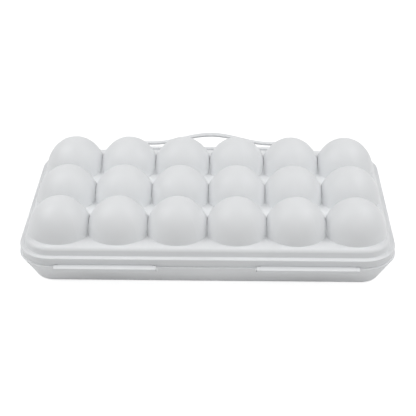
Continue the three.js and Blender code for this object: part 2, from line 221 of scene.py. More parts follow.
# Patterns in the plastics, with scales in waves for each metre
NOISE_SPAN = (0.3, 0.7)
CLOUD_SCALE = 22
CLOUD_DETAIL = 3
CLOUD_SHARE = 0.975
GLOSS_SCALE = 60
GLOSS_DETAIL = 5
GLOSSIER_BY = 0.05
DULLER_BY = 0.06
GRAIN_SCALE = 1800
GRAIN_DETAIL = 2
GRAIN_DEPTH = 0.05 * MM

# Painted shade in narrow places, by how open a place is
PAINTED_SHADE_REACH = 1.8 * MM
PAINTED_SHADE_SAMPLES = 24
PAINTED_SHADE_OPENNESS = (0.1, 0.36)
PAINTED_SHADE_SHARES = (0.3, 1)

# Camera, fitted to the egg grid in the photograph, with its sensor in millimetres
FRAME_PIXELS = 416
FOCAL_PIXELS = 1021.2
SENSOR_WIDTH = 36
CAMERA_YAW = math.radians(-1.425)
CAMERA_PITCH = math.radians(32.262)
CAMERA_ROLL = math.radians(0.319)
CAMERA_X = 18.77 * MM
CAMERA_Y = -777.089 * MM
CAMERA_ABOVE_DECK = 477.424 * MM
CAMERA_FAR_LIMIT = 20

# Studio: places and sizes in metres, power in watts
SKY_STRENGTH = 0.26
SIDE_LAMP_REACH = 1
SIDE_LAMP_HEIGHT = 1.2
SIDE_LAMP_SIZE = 1
SIDE_LAMP_POWER = 9.6
FRONT_LAMP_REACH = 1.2
FRONT_LAMP_HEIGHT = 1.1
FRONT_LAMP_SIZE = 1.2
FRONT_LAMP_POWER = 2.6
FLOOR_SIZE = 2.2
FLOOR_DROP = 0.2 * MM
FLOOR_GREY = 0.8
SHOWN_FLOOR_GREY = 0.45
SHOWN_FLOOR_GLOW = 0.84

BOTH_SIDES = (("left", -1), ("right", 1))


# Outline of the box


def plan_inset(x, y):
    """How far points lie inside the widest outline of the lid."""
    qx = np.abs(x) - (HALF_LENGTH - CORNER_RADIUS)
    qy = np.abs(y) - (HALF_WIDTH - CORNER_RADIUS)
    in_corner = (qx > 0) & (qy > 0)
    straight = CORNER_RADIUS - np.maximum(qx, qy)
    rounded = CORNER_RADIUS - np.hypot(np.maximum(qx, 0), np.maximum(qy, 0))
    return np.where(in_corner, rounded, straight)


def plan_normal(x, y):
    """The outward direction of the outline nearest to a point."""
    qx = abs(x) - (HALF_LENGTH - CORNER_RADIUS)
    qy = abs(y) - (HALF_WIDTH - CORNER_RADIUS)
    if qx > 0 and qy > 0:
        length = math.hypot(qx, qy)
        return math.copysign(qx / length, x), math.copysign(qy / length, y)
    if qx > qy:
        return math.copysign(1, x), 0.0
    return 0.0, math.copysign(1, y)


def plan_loop():
    """Points round the widest outline, as (x, y, normal x, normal y), counter-clockwise."""
    centre_x = HALF_LENGTH - CORNER_RADIUS
    centre_y = HALF_WIDTH - CORNER_RADIUS
    corners = [(1, -1), (1, 1), (-1, 1), (-1, -1)]
    loop = []
    for quarter, (side_x, side_y) in enumerate(corners):
        for step in range(CORNER_STEPS + 1):
            angle = (quarter - 1 + step / CORNER_STEPS) * math.pi / 2
            nx, ny = math.cos(angle), math.sin(angle)
            x = side_x * centre_x + CORNER_RADIUS * nx
            y = side_y * centre_y + CORNER_RADIUS * ny
            loop.append((x, y, nx, ny))
        next_x, next_y = corners[(quarter + 1) % len(corners)]
        x, y, nx, ny = loop[-1]
        end_x = next_x * centre_x + CORNER_RADIUS * nx
        end_y = next_y * centre_y + CORNER_RADIUS * ny
        for step in range(1, SIDE_STEPS):
            share = step / SIDE_STEPS
            loop.append((x + (end_x - x) * share, y + (end_y - y) * share, nx, ny))
    return loop


# Profiles


def rounded(points):
    """An open line through points given as (a, b, radius), with an arc in place of each bend."""
    line = []
    for i, (a, b, radius) in enumerate(points):
        corner = Vector((a, b))
        if radius <= 0 or i in (0, len(points) - 1):
            line.append(corner)
            continue
        back = Vector(points[i - 1][:2]) - corner
        ahead = Vector(points[i + 1][:2]) - corner
        half = back.angle(ahead) / 2
        longest = LONGEST_BEND_SHARE * min(back.length, ahead.length)
        run = min(radius / math.tan(half), longest)
        start = corner + back.normalized() * run
        end = corner + ahead.normalized() * run
        middle = corner + (back.normalized() + ahead.normalized()).normalized() * run / math.cos(half)
        sweep = math.pi - 2 * half
        first = start - middle
        turn = math.copysign(1, first.x * (end - middle).y - first.y * (end - middle).x)
        for step in range(EDGE_STEPS + 1):
            angle = turn * sweep * step / EDGE_STEPS
            line.append(middle + Matrix.Rotation(angle, 2) @ first)
    return [(p.x, p.y) for p in line]


def arc(centre_a, centre_b, radius, from_angle, to_angle, steps):
    """Points along an arc, angles in degrees."""
    points = []
    for step in range(steps + 1):
        angle = math.radians(from_angle + (to_angle - from_angle) * step / steps)
        points.append((centre_a + radius * math.cos(angle), centre_b + radius * math.sin(angle)))
    return points


# Objects


def new_object(name, bm, body, material):
    """A smooth piece from a mesh, whose flat faces still look flat, riding on a body."""
    bmesh.ops.recalc_face_normals(bm, faces=bm.faces[:])
    mesh = bpy.data.meshes.new(name)
    bm.to_mesh(mesh)
    bm.free()
    for polygon in mesh.polygons:
        polygon.use_smooth = True
    piece = bpy.data.objects.new(name, mesh)
    bpy.context.scene.collection.objects.link(piece)
    mesh.materials.append(material)
    weighted = piece.modifiers.new("even_shading", "WEIGHTED_NORMAL")
    weighted.keep_sharp = False
    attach(piece, body)
    return piece


def add_bevel(piece, width):
    """Rounds the edges of a small block."""
    bevel = piece.modifiers.new("edges", "BEVEL")
    bevel.width = width
    bevel.segments = BEVEL_STEPS
    bevel.limit_method = "ANGLE"
    piece.modifiers.move(len(piece.modifiers) - 1, 0)


def add_ring_faces(bm, low, high):
    """Quads between two closed rings of vertices."""
    count = len(low)
    for i in range(count):
        j = (i + 1) % count
        bm.faces.new((low[i], low[j], high[j], high[i]))


def block_along_x(bm, outline, hole, from_x, to_x):
    """A block along X from an outline in Y and Z, with a hole through it if one is given."""
    loops = [outline] + ([hole] if hole else [])
    flat = [point for loop in loops for point in loop]
    ends = [[bm.verts.new((x, y, z)) for y, z in flat] for x in (from_x, to_x)]
    triangles = tessellate_polygon([[Vector((y, z, 0)) for y, z in loop] for loop in loops])
    for verts in ends:
        for a, b, c in triangles:
            bm.faces.new((verts[a], verts[b], verts[c]))
    start = 0
    for loop in loops:
        near = ends[0][start:start + len(loop)]
        far = ends[1][start:start + len(loop)]
        add_ring_faces(bm, near, far)
        start += len(loop)


def turned_along_x(bm, points, from_x, side, y, z):
    """A solid of revolution along X from points given as (radius, place along X)."""
    rings = []
    for radius, along in points:
        x = from_x + side * along
        ring = []
        for i in range(PIN_STEPS):
            angle = 2 * math.pi * i / PIN_STEPS
            ring.append(bm.verts.new((x, y + radius * math.cos(angle), z + radius * math.sin(angle))))
        rings.append(ring)
    for low, high in zip(rings, rings[1:]):
        add_ring_faces(bm, low, high)
    bm.faces.new(rings[0])
    bm.faces.new(rings[-1])


def circle_points(y, z, radius, steps=BORE_STEPS):
    """Points round a circle in the Y and Z plane."""
    return arc(y, z, radius, 0, 360 * (steps - 1) / steps, steps - 1)


# Surfaces over the egg grid


def egg_places():
    """Every egg's column, row and place."""
    for row in range(ROWS):
        for column in range(COLUMNS):
            x = (column - (COLUMNS - 1) / 2) * COLUMN_PITCH
            y = (row - (ROWS - 1) / 2) * ROW_PITCH
            yield column, row, x, y


def outline_reach(x, y, angle, inset):
    """How far a ray from a place runs until it meets the outline drawn in by an inset."""
    low, high = 0, LONGEST_RAY
    for _ in range(HALVINGS):
        middle = (low + high) / 2
        gone = plan_inset(x + middle * math.cos(angle), y + middle * math.sin(angle)) < inset
        low, high = (low, middle) if gone else (middle, high)
    return low


def cell_sides(column, row, x, y, inset):
    """How far a cell's right, back, left and front sides are, and whether each is the outline."""
    on_outline = [column == COLUMNS - 1, row == ROWS - 1, column == 0, row == 0]
    half = [COLUMN_PITCH / 2, ROW_PITCH / 2, COLUMN_PITCH / 2, ROW_PITCH / 2]
    edge_x = HALF_LENGTH - inset - abs(x)
    edge_y = HALF_WIDTH - inset - abs(y)
    edge = [edge_x, edge_y, edge_x, edge_y]
    reaches = [e if outside else h for e, h, outside in zip(edge, half, on_outline)]
    return reaches, on_outline


def side_places(start, end, dense_start, dense_end, inset):
    """Places along a side of a cell, closer together over the rolled edge of the deck where asked."""
    roll = DECK_FLAT_INSET - inset
    flat_steps = SIDE_STEPS - ROLL_STEPS
    if roll > 0 and dense_start:
        edge = np.linspace(start, start + roll, ROLL_STEPS + 1)
        return np.concatenate([edge[:-1], np.linspace(start + roll, end, flat_steps + 1)])
    if roll > 0 and dense_end:
        edge = np.linspace(end - roll, end, ROLL_STEPS + 1)
        return np.concatenate([np.linspace(start, end - roll, flat_steps + 1), edge[1:]])
    return np.linspace(start, end, SIDE_STEPS + 1)


def cell_rays(column, row, x, y, inset):
    """Rays from an egg's place to the edge of its cell, as (angle, reach)."""
    reaches, on_outline = cell_sides(column, row, x, y, inset)
    rays = []
    for side in range(len(reaches)):
        following = (side + 1) % len(reaches)
        inside = not on_outline[side]
        places = side_places(-reaches[side - 1], reaches[following], inside and on_outline[side - 1],
                             inside and on_outline[following], inset)
        for place in places[:-1]:
            angle = side * math.pi / 2 + math.atan2(place, reaches[side])
            reach = math.hypot(place, reaches[side])
            if on_outline[side]:
                reach = min(reach, outline_reach(x, y, angle, inset) + OUTLINE_SLACK)
            rays.append((angle, reach))
    return rays


def even_points(r, z):
    """The radii of a few points along a dense line, closer together where it bends."""
    run = np.hypot(np.diff(r), np.diff(z))
    heading = np.unwrap(np.arctan2(np.diff(z), np.diff(r)))
    bend = np.abs(np.diff(heading, prepend=heading[0]))
    travel = np.concatenate([[0], np.cumsum(run + BEND_WEIGHT * bend)])
    wanted = np.linspace(0, travel[-1], CELL_RINGS + 1)
    return np.interp(wanted, travel, r)


def grid_surface(bm, height, inner_radius, inset):
    """A surface over the egg grid from a height function, out to the outline drawn in by an inset."""
    for column, row, x, y in egg_places():
        spokes = []
        for angle, reach in cell_rays(column, row, x, y, inset):
            dense = np.linspace(inner_radius, reach, DENSE_STEPS)
            cos, sin = math.cos(angle), math.sin(angle)
            z = height(x + dense * cos, y + dense * sin, x, y)
            radii = even_points(dense, z)
            radii[0], radii[-1] = inner_radius, reach
            px, py = x + radii * cos, y + radii * sin
            pz = height(px, py, x, y)
            spokes.append([bm.verts.new(p) for p in zip(px, py, pz)])
        for spoke, following in zip(spokes, spokes[1:] + spokes[:1]):
            for k in range(CELL_RINGS):
                bm.faces.new((spoke[k], spoke[k + 1], following[k + 1], following[k]))
    bmesh.ops.remove_doubles(bm, verts=bm.verts[:], dist=MERGE_DISTANCE)
    bmesh.ops.dissolve_degenerate(bm, dist=SLIVER_LENGTH, edges=bm.edges[:])


def boundary_loop(bm):
    """The vertices along the outermost open edge, in order and counter-clockwise."""
    start = max((e for e in bm.edges if e.is_boundary), key=lambda e: e.verts[0].co.x)
    loop = list(start.verts)
    passed = {start}
    while loop[-1] is not loop[0]:
        edge = next(e for e in loop[-1].link_edges if e.is_boundary and e not in passed)
        passed.add(edge)
        loop.append(edge.other_vert(loop[-1]))
    loop.pop()
    area = sum(a.co.x * b.co.y - b.co.x * a.co.y for a, b in zip(loop, loop[1:] + loop[:1]))
    return loop if area > 0 else loop[::-1]


# Lid


def dome_height(distance):
    """The height of one dome above the deck: the top of a spheroid, with a small fillet at its foot."""
    tangent = DOME_FILLET / math.tan(math.pi / 4 + DOME_FOOT_DRAFT / 2)
    foot = DOME_FOOT_RADIUS + tangent
    join = DOME_FOOT_RADIUS - tangent * math.sin(DOME_FOOT_DRAFT)
    across = np.minimum(distance / DOME_HALF_WIDTH, 1)
    spheroid = DOME_HALF_HEIGHT * np.sqrt(1 - across ** 2) - DOME_SUNK
    hollow = DOME_FILLET - np.sqrt(np.maximum(DOME_FILLET ** 2 - (foot - distance) ** 2, 0))
    return np.where(distance < join, spheroid, np.where(distance < foot, hollow, 0))


def deck_height(x, y):
    """The deck, which rolls over at its edge."""
    past = np.clip(DECK_FLAT_INSET - plan_inset(x, y), 0, DECK_EDGE_RADIUS)
    return DECK_Z - DECK_EDGE_RADIUS + np.sqrt(DECK_EDGE_RADIUS ** 2 - past ** 2)


def lid_height(x, y, _cx, _cy):
    """The lid's top: domes on the deck, which meet in narrow creases that round over at their top."""
    heights = np.stack([dome_height(np.hypot(x - cx, y - cy)) for _, _, cx, cy in egg_places()])
    heights.sort(axis=0)
    highest, second = heights[-1], heights[-2]
    near_top = np.clip(2 * second / SADDLE_HEIGHT - 1, 0, 1)
    blend = CREASE_BLEND + (SADDLE_BLEND - CREASE_BLEND) * near_top ** 2
    blend = np.clip(second, LEAST_BLEND, blend)
    overlap = np.maximum(blend - (highest - second), 0)
    return deck_height(x, y) + highest + overlap ** 2 / (4 * blend)


def lid_rim_profile():
    """The lid's edge from the roll-over of the deck, down the outside and back up the inside."""
    start_inset = DECK_FLAT_INSET - DECK_EDGE_RADIUS * DECK_EDGE_SHARE
    centre = (DECK_FLAT_INSET, DECK_Z - DECK_EDGE_RADIUS)
    start_angle = 180 - math.degrees(math.acos(DECK_EDGE_SHARE))
    roll = arc(*centre, DECK_EDGE_RADIUS, start_angle, 180, EDGE_STEPS)
    outside = rounded([
        (*roll[-1], 0),
        (LEDGE_WIDTH, LEDGE_Z, LEDGE_FILLET),
        (0, LEDGE_Z, LEDGE_EDGE),
        (SKIRT_DRAFT + SKIRT_FOOT_STEP, SKIRT_FOOT_Z, FINE_EDGE),
        (SKIRT_DRAFT + WALL, SKIRT_FOOT_Z, SHARP_EDGE),
        (WALL, LEDGE_Z - WALL, LEDGE_EDGE),
        (LEDGE_WIDTH + WALL, LEDGE_Z - WALL, LEDGE_FILLET),
        (STEP_TOP_INSET + WALL, DECK_Z - DECK_EDGE_RADIUS, 0),
    ])
    inner_roll = arc(*centre, DECK_EDGE_RADIUS - WALL, 180, start_angle, EDGE_STEPS)
    return start_inset, roll[1:] + outside[1:] + inner_roll[1:]


def lid_top(material):
    """The moulded lid: domes, deck, ledge and skirt, all one wall thick."""
    bm = bmesh.new()
    start_inset, profile = lid_rim_profile()
    grid_surface(bm, lid_height, 0.0, start_inset)
    bmesh.ops.recalc_face_normals(bm, faces=bm.faces[:])
    bm.normal_update()
    top_verts = list(bm.verts)
    top_faces = list(bm.faces)
    loop = boundary_loop(bm)
    rings = [loop]
    frames = [(v.co.x, v.co.y, *plan_normal(v.co.x, v.co.y)) for v in loop]
    for inset, z in profile:
        out = start_inset - inset
        rings.append([bm.verts.new((x + nx * out, y + ny * out, z)) for x, y, nx, ny in frames])
    for low, high in zip(rings, rings[1:]):
        add_ring_faces(bm, low, high)
    inner = dict(zip(loop, rings[-1]))
    for vert in top_verts:
        if vert not in inner:
            inner[vert] = bm.verts.new(vert.co - vert.normal * math.copysign(WALL, vert.normal.z))
    for face in top_faces:
        bm.faces.new([inner[v] for v in reversed(face.verts)])
    return new_object("lid_top", bm, "lid", material)


def sleeve_outline():
    """The section of a hinge strip: flat on top out to its edge, and round below."""
    root_y = -HALF_WIDTH + SKIRT_DRAFT + WALL / 2
    low = arc(HINGE_Y, HINGE_Z, SLEEVE_RADIUS, 180, 360, SLEEVE_STEPS)
    leaf = [(HINGE_Y + SLEEVE_RADIUS, LEAF_FOOT_Z), (root_y, LEAF_FOOT_Z), (root_y, STRIP_TOP_Z)]
    return low + leaf + [(STRIP_FRONT_Y, STRIP_TOP_Z)]


def hinge_strip(name, side, material):
    """One leaf and sleeve of the lid, with the pin's bore through it."""
    bm = bmesh.new()
    inner = side * (STRIP_INNER_END + HINGE_LUG_WIDTH + CLOSED_SEAM)
    outer = side * (STRIP_OUTER_END - HINGE_LUG_WIDTH - CLOSED_SEAM)
    bore = circle_points(HINGE_Y, HINGE_Z, HINGE_PIN_RADIUS + PIN_GAP)
    block_along_x(bm, sleeve_outline(), bore, inner, outer)
    piece = new_object(f"lid_hinge_strip_{name}", bm, "lid", material)
    add_bevel(piece, SHARP_EDGE)


def handle_lug_outline():
    """The section of the lug that carries one end of the handle."""
    skirt_y = HALF_WIDTH - WALL / 2
    foot_z = LEDGE_Z - HANDLE_LUG_FOOT_DROP
    foot = [(skirt_y, foot_z), (HANDLE_Y, foot_z + HANDLE_AXIS_REACH)]
    nose = arc(HANDLE_Y, HANDLE_Z, HANDLE_LUG_RADIUS, -45, 135, HANDLE_LUG_STEPS)
    return foot + nose + [(skirt_y, LEDGE_Z - LEDGE_EDGE)]


def handle_lug(name, side, material):
    """One lug on the back of the lid, with the pin's bore through it."""
    bm = bmesh.new()
    inner = HANDLE_HALF_LENGTH + PIN_GAP
    bore = circle_points(HANDLE_Y, HANDLE_Z, HANDLE_PIN_RADIUS + PIN_GAP)
    block_along_x(bm, handle_lug_outline(), bore, side * inner, side * (inner + HANDLE_LUG_WIDTH))
    piece = new_object(f"lid_handle_lug_{name}", bm, "lid", material)
    add_bevel(piece, THIN_EDGE)


def handle_stop(name, side, material):
    """The bracket on the lid that one end of the handle rests on."""
    skirt_y = HALF_WIDTH - WALL / 2
    rest_z = HANDLE_Z - HANDLE_THICKNESS / 2 - SEAM_GAP
    dip_z = HANDLE_Z - EAR_RADIUS - SEAM_GAP
    rise_y = HANDLE_Y + EAR_RADIUS + SEAM_GAP
    outline = [
        (skirt_y, dip_z - 2 * STOP_THICKNESS),
        (rise_y + STOP_REACH, rest_z - STOP_THICKNESS),
        (rise_y + STOP_REACH, rest_z),
        (rise_y, rest_z),
        (rise_y, dip_z),
        (skirt_y, dip_z),
    ]
    bm = bmesh.new()
    inner = HANDLE_HALF_LENGTH - SIDE_BAR_WIDTH
    block_along_x(bm, outline, None, side * inner, side * (inner + STOP_WIDTH))
    piece = new_object(f"lid_handle_stop_{name}", bm, "lid", material)
    add_bevel(piece, THIN_EDGE)


def make_lid(material):
    """The lid and everything moulded with it."""
    top = lid_top(material)
    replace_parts(top, "lid_shell")
    for name, side in BOTH_SIDES:
        hinge_strip(name, side, material)
        handle_lug(name, side, material)
        handle_stop(name, side, material)


# Tray


def tray_wall_inset(z, depth):
    """How far in the leaning wall stands at a height, a depth below its outer face."""
    return (RIM_Z - z) * math.tan(TRAY_LEAN) + depth / math.cos(TRAY_LEAN) - RIM_OVERHANG


def tray_profile():
    """The tray from its underside up the outside, over the lip and down the inside to the floor."""
    flat = 2 * TRAY_BOTTOM_RADIUS
    lip_foot_z = RIM_Z - (LIP_INNER_INSET - tray_wall_inset(RIM_Z, WALL)) / math.tan(TRAY_LEAN)
    return rounded([
        (tray_wall_inset(0, 0) + flat, 0, 0),
        (tray_wall_inset(0, 0), 0, TRAY_BOTTOM_RADIUS),
        (-RIM_OVERHANG, RIM_Z, RIM_EDGE / 2),
        (RIM_EDGE - RIM_OVERHANG, PARTING_Z, RIM_EDGE / 2),
        (LIP_OUTER_INSET, PARTING_Z, THIN_EDGE),
        (LIP_OUTER_INSET, LIP_TOP_Z, THIN_EDGE),
        (LIP_INNER_INSET, LIP_TOP_Z, THIN_EDGE),
        (LIP_INNER_INSET, lip_foot_z, LIP_FOOT_RADIUS),
        (tray_wall_inset(WALL, WALL), WALL, TRAY_BOTTOM_RADIUS - WALL),
        (tray_wall_inset(WALL, WALL) + flat, WALL, 0),
    ])


def tray_shell(material):
    """The moulded tray."""
    bm = bmesh.new()
    loop = plan_loop()
    rings = []
    for inset, z in tray_profile():
        rings.append([bm.verts.new((x - nx * inset, y - ny * inset, z)) for x, y, nx, ny in loop])
    for low, high in zip(rings, rings[1:]):
        add_ring_faces(bm, low, high)
    bm.faces.new(rings[0])
    bm.faces.new(rings[-1])
    return new_object("tray_shell", bm, "tray", material)


def lug_outline():
    """The section of a hinge lug: flush with the strip, and short of the skirt's path as the lid opens."""
    root_y = -HALF_WIDTH + WALL
    top_y = HINGE_Y + LUG_REACH
    low = arc(HINGE_Y, HINGE_Z, SLEEVE_RADIUS, 180, 270, HINGE_LUG_STEPS)
    web = [(root_y, HINGE_Z - SLEEVE_RADIUS), (root_y, PARTING_Z), (top_y, PARTING_Z)]
    return low + web + [(top_y, STRIP_TOP_Z), (STRIP_FRONT_Y, STRIP_TOP_Z)]


def hinge_lugs(name, side, material):
    """The tray's two lugs at the ends of one strip."""
    bore = circle_points(HINGE_Y, HINGE_Z, HINGE_PIN_RADIUS + PIN_GAP)
    starts = (("inner", STRIP_INNER_END), ("outer", STRIP_OUTER_END - HINGE_LUG_WIDTH))
    for end, start in starts:
        bm = bmesh.new()
        block_along_x(bm, lug_outline(), bore, side * start, side * (start + HINGE_LUG_WIDTH))
        piece = new_object(f"tray_hinge_lug_{name}_{end}", bm, "tray", material)
        add_bevel(piece, SHARP_EDGE)


def make_tray(material):
    """The tray and its lugs."""
    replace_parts(tray_shell(material), "base_tray")
    for name, side in BOTH_SIDES:
        hinge_lugs(name, side, material)


# Rack


def cup_line():
    """The inside of a cup, from its foot to the plate, as radius and height."""
    return rounded([
        (CUP_FOOT_RADIUS, CUP_FOOT_Z, 0),
        (CUP_WAIST_RADIUS, CUP_FOOT_Z + CUP_WAIST_RISE, CUP_WAIST_BEND),
        (CUP_MOUTH_RADIUS, RACK_TOP_Z, CUP_LIP_RADIUS),
        (CUP_MOUTH_RADIUS + COLUMN_PITCH, RACK_TOP_Z, 0),
    ])


def rack_height(x, y, cx, cy):
    """The top side of the rack."""
    line = np.array(cup_line())
    return np.interp(np.hypot(x - cx, y - cy), line[:, 0], line[:, 1])


def make_rack(material):
    """The plate with its eighteen open cups, one wall thick."""
    bm = bmesh.new()
    grid_surface(bm, rack_height, CUP_FOOT_RADIUS, LIP_INNER_INSET + RACK_GAP)
    rack = new_object("rack_tray", bm, "tray", material)
    solid = rack.modifiers.new("wall", "SOLIDIFY")
    solid.thickness = RACK_WALL
    solid.offset = -1
    solid.use_even_offset = True
    rack.modifiers.move(len(rack.modifiers) - 1, 0)
    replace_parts(rack, "egg_rack")


# Handle


def grip_edge(flat_reach, centre_reach):
    """One edge of the grip from right to left, with a smooth swell in the middle."""
    points = []
    for step in range(GRIP_STEPS + 1):
        place = 1 - 2 * step / GRIP_STEPS
        swell = (1 + math.cos(place * math.pi)) / 2
        points.append((place * GRIP_WAVE_HALF_LENGTH, flat_reach + (centre_reach - flat_reach) * swell))
    return points


def loop_edge(half_length, near, flat_reach, centre_reach, near_radius, far_radius):
    """One edge of the whole loop, counter-clockwise from the middle of the root bar."""
    far_x = half_length - far_radius
    near_x = half_length - near_radius
    near_y = near + near_radius
    far_y = flat_reach - far_radius
    right = [(near_x * step / ROOT_BAR_STEPS, near) for step in range(ROOT_BAR_STEPS)]
    right += arc(near_x, near_y, near_radius, -90, 0, NEAR_CORNER_STEPS)
    right += arc(far_x, far_y, far_radius, 0, 90, FAR_CORNER_STEPS)
    left = [(-x, y) for x, y in reversed(right[1:])]
    return right + grip_edge(flat_reach, centre_reach) + left


def bar_section(inner, outer):
    """The rounded section of the loop between two edge points, as points in the handle's own place."""
    start, end = Vector((*inner, 0)), Vector((*outer, 0))
    width = (end - start).length
    across = (end - start).normalized()
    edge = HANDLE_EDGE_RADIUS
    high = HANDLE_THICKNESS / 2 - edge
    corners = ((width - edge, high, 0), (edge, high, 90), (edge, -high, 180), (width - edge, -high, 270))
    section = []
    for along, up, angle in corners:
        for a, z in arc(along, up, edge, angle, angle + 90, EDGE_STEPS):
            section.append(start + across * a + Vector((0, 0, z)))
    return section


def handle_loop(material):
    """The loop of the handle as one ring with a rounded section."""
    near = ROOT_BAR_WIDTH / 2
    near_radius = HANDLE_NEAR_CORNER_RADIUS
    outer = loop_edge(HANDLE_HALF_LENGTH, -near, GRIP_FLAT_REACH, GRIP_CENTRE_REACH, near_radius,
                      HANDLE_CORNER_RADIUS)
    inner = loop_edge(HANDLE_HALF_LENGTH - SIDE_BAR_WIDTH, near, GRIP_FLAT_REACH - GRIP_FLAT_WIDTH,
                      GRIP_CENTRE_REACH - GRIP_CENTRE_WIDTH, near_radius, HANDLE_HOLE_CORNER_RADIUS)
    bm = bmesh.new()
    place = Vector((0, HANDLE_Y, HANDLE_Z))
    rings = [[bm.verts.new(p + place) for p in bar_section(i, o)] for i, o in zip(inner, outer)]
    for ring, following in zip(rings, rings[1:] + rings[:1]):
        add_ring_faces(bm, ring, following)
    return new_object("handle_loop", bm, "handle", material)


def handle_ear(name, side, material):
    """The barrel at one end of the root bar, bored for its pin."""
    bm = bmesh.new()
    outline = circle_points(HANDLE_Y, HANDLE_Z, EAR_RADIUS, EAR_STEPS)
    bore = circle_points(HANDLE_Y, HANDLE_Z, HANDLE_PIN_RADIUS + PIN_GAP)
    inner = HANDLE_HALF_LENGTH - EAR_LENGTH
    block_along_x(bm, outline, bore, side * inner, side * HANDLE_HALF_LENGTH)
    piece = new_object(f"handle_ear_{name}", bm, "handle", material)
    add_bevel(piece, THIN_EDGE)


def make_handle(material):
    """The handle with its two ears."""
    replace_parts(handle_loop(material), "carry_handle")
    for name, side in BOTH_SIDES:
        handle_ear(name, side, material)


# Pins


def make_hinge_pin(name, side, material):
    """A hinge pin, with its head at the end nearer the middle."""
    shank_end = HINGE_HEAD_LENGTH + SEAM_GAP + STRIP_LENGTH
    line = rounded([
        (PIN_END_SHARE * HINGE_HEAD_RADIUS, 0, 0),
        (HINGE_HEAD_RADIUS, 0, THIN_EDGE),
        (HINGE_HEAD_RADIUS, HINGE_HEAD_LENGTH, THIN_EDGE),
        (HINGE_PIN_RADIUS, HINGE_HEAD_LENGTH, 0),
        (HINGE_PIN_RADIUS, shank_end, THIN_EDGE),
        (PIN_END_SHARE * HINGE_PIN_RADIUS, shank_end, 0),
    ])
    bm = bmesh.new()
    start = side * (STRIP_INNER_END - SEAM_GAP - HINGE_HEAD_LENGTH)
    turned_along_x(bm, line, start, side, HINGE_Y, HINGE_Z)
    pin = new_object(f"pin_hinge_{name}", bm, "tray", material)
    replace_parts(pin, f"hinge_pin_{name}")


def make_handle_pin(name, side, material):
    """A handle pin, with its head outside its lug."""
    start = HANDLE_HALF_LENGTH - HANDLE_PIN_DEPTH + PIN_GAP
    shank_end = HANDLE_HALF_LENGTH + PIN_GAP + HANDLE_LUG_WIDTH + SEAM_GAP - start
    line = rounded([
        (PIN_END_SHARE * HANDLE_PIN_RADIUS, 0, 0),
        (HANDLE_PIN_RADIUS, 0, THIN_EDGE),
        (HANDLE_PIN_RADIUS, shank_end, 0),
        (HANDLE_HEAD_RADIUS, shank_end, THIN_EDGE),
        (HANDLE_HEAD_RADIUS, shank_end + HANDLE_HEAD_LENGTH, THIN_EDGE),
        (PIN_END_SHARE * HANDLE_HEAD_RADIUS, shank_end + HANDLE_HEAD_LENGTH, 0),
    ])
    bm = bmesh.new()
    turned_along_x(bm, line, side * start, side, HANDLE_Y, HANDLE_Z)
    pin = new_object(f"pin_handle_{name}", bm, "lid", material)
    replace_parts(pin, f"handle_pin_{name}")


# Materials


def add_noise(tree, scale, detail):
    """A noise pattern that keeps its place on the object."""
    place = tree.nodes.new("ShaderNodeTexCoord")
    noise = tree.nodes.new("ShaderNodeTexNoise")
    noise.inputs["Scale"].default_value = scale
    noise.inputs["Detail"].default_value = detail
    tree.links.new(place.outputs["Object"], noise.inputs["Vector"])
    return noise.outputs["Fac"]


def add_range(tree, value, source, target):
    """A value moved from one span to another, and held within it."""
    moved = tree.nodes.new("ShaderNodeMapRange")
    moved.inputs["From Min"].default_value, moved.inputs["From Max"].default_value = source
    moved.inputs["To Min"].default_value, moved.inputs["To Max"].default_value = target
    tree.links.new(value, moved.inputs["Value"])
    return moved.outputs["Result"]


def cloudy_color(tree, color):
    """The plastic's colour, a little darker in faint clouds."""
    tint = tree.nodes.new("ShaderNodeValToRGB")
    low, high = tint.color_ramp.elements
    low.position, high.position = NOISE_SPAN
    low.color = (*[CLOUD_SHARE * c for c in color], 1)
    high.color = (*color, 1)
    tree.links.new(add_noise(tree, CLOUD_SCALE, CLOUD_DETAIL), tint.inputs["Fac"])
    return tint.outputs["Color"]


def painted_shade_color(tree, color):
    """A colour with painted shade, darker in grooves and seams."""
    # Painted shade: ambient occlusion multiplies the base colour down where a place is narrow.
    nook = tree.nodes.new("ShaderNodeAmbientOcclusion")
    nook.samples = PAINTED_SHADE_SAMPLES
    nook.inputs["Distance"].default_value = PAINTED_SHADE_REACH
    darkened = tree.nodes.new("ShaderNodeMix")
    darkened.data_type = "RGBA"
    darkened.blend_type = "MULTIPLY"
    darkened.inputs["Factor"].default_value = 1
    tree.links.new(color, darkened.inputs["A"])
    tree.links.new(add_range(tree, nook.outputs["AO"], PAINTED_SHADE_OPENNESS, PAINTED_SHADE_SHARES), darkened.inputs["B"])
    return darkened.outputs["Result"]


def fine_grain(tree, strength):
    """The fine grain that the mould leaves."""
    bump = tree.nodes.new("ShaderNodeBump")
    bump.inputs["Strength"].default_value = strength
    bump.inputs["Distance"].default_value = GRAIN_DEPTH
    tree.links.new(add_noise(tree, GRAIN_SCALE, GRAIN_DETAIL), bump.inputs["Height"])
    return bump.outputs["Normal"]


def moulded_plastic(name, color, roughness, grain):
    """Satin moulded plastic: faint clouds, painted shade in the grooves, uneven gloss and a fine grain."""
    material = bpy.data.materials.new(name)
    material.use_nodes = True
    tree = material.node_tree
    shader = tree.nodes["Principled BSDF"]
    shader.inputs["IOR"].default_value = PLASTIC_IOR
    gloss = add_noise(tree, GLOSS_SCALE, GLOSS_DETAIL)
    gloss_span = (roughness - GLOSSIER_BY, roughness + DULLER_BY)
    tree.links.new(painted_shade_color(tree, cloudy_color(tree, color)), shader.inputs["Base Color"])
    tree.links.new(add_range(tree, gloss, NOISE_SPAN, gloss_span), shader.inputs["Roughness"])
    tree.links.new(fine_grain(tree, grain), shader.inputs["Normal"])
    return material


# Camera, light and floor


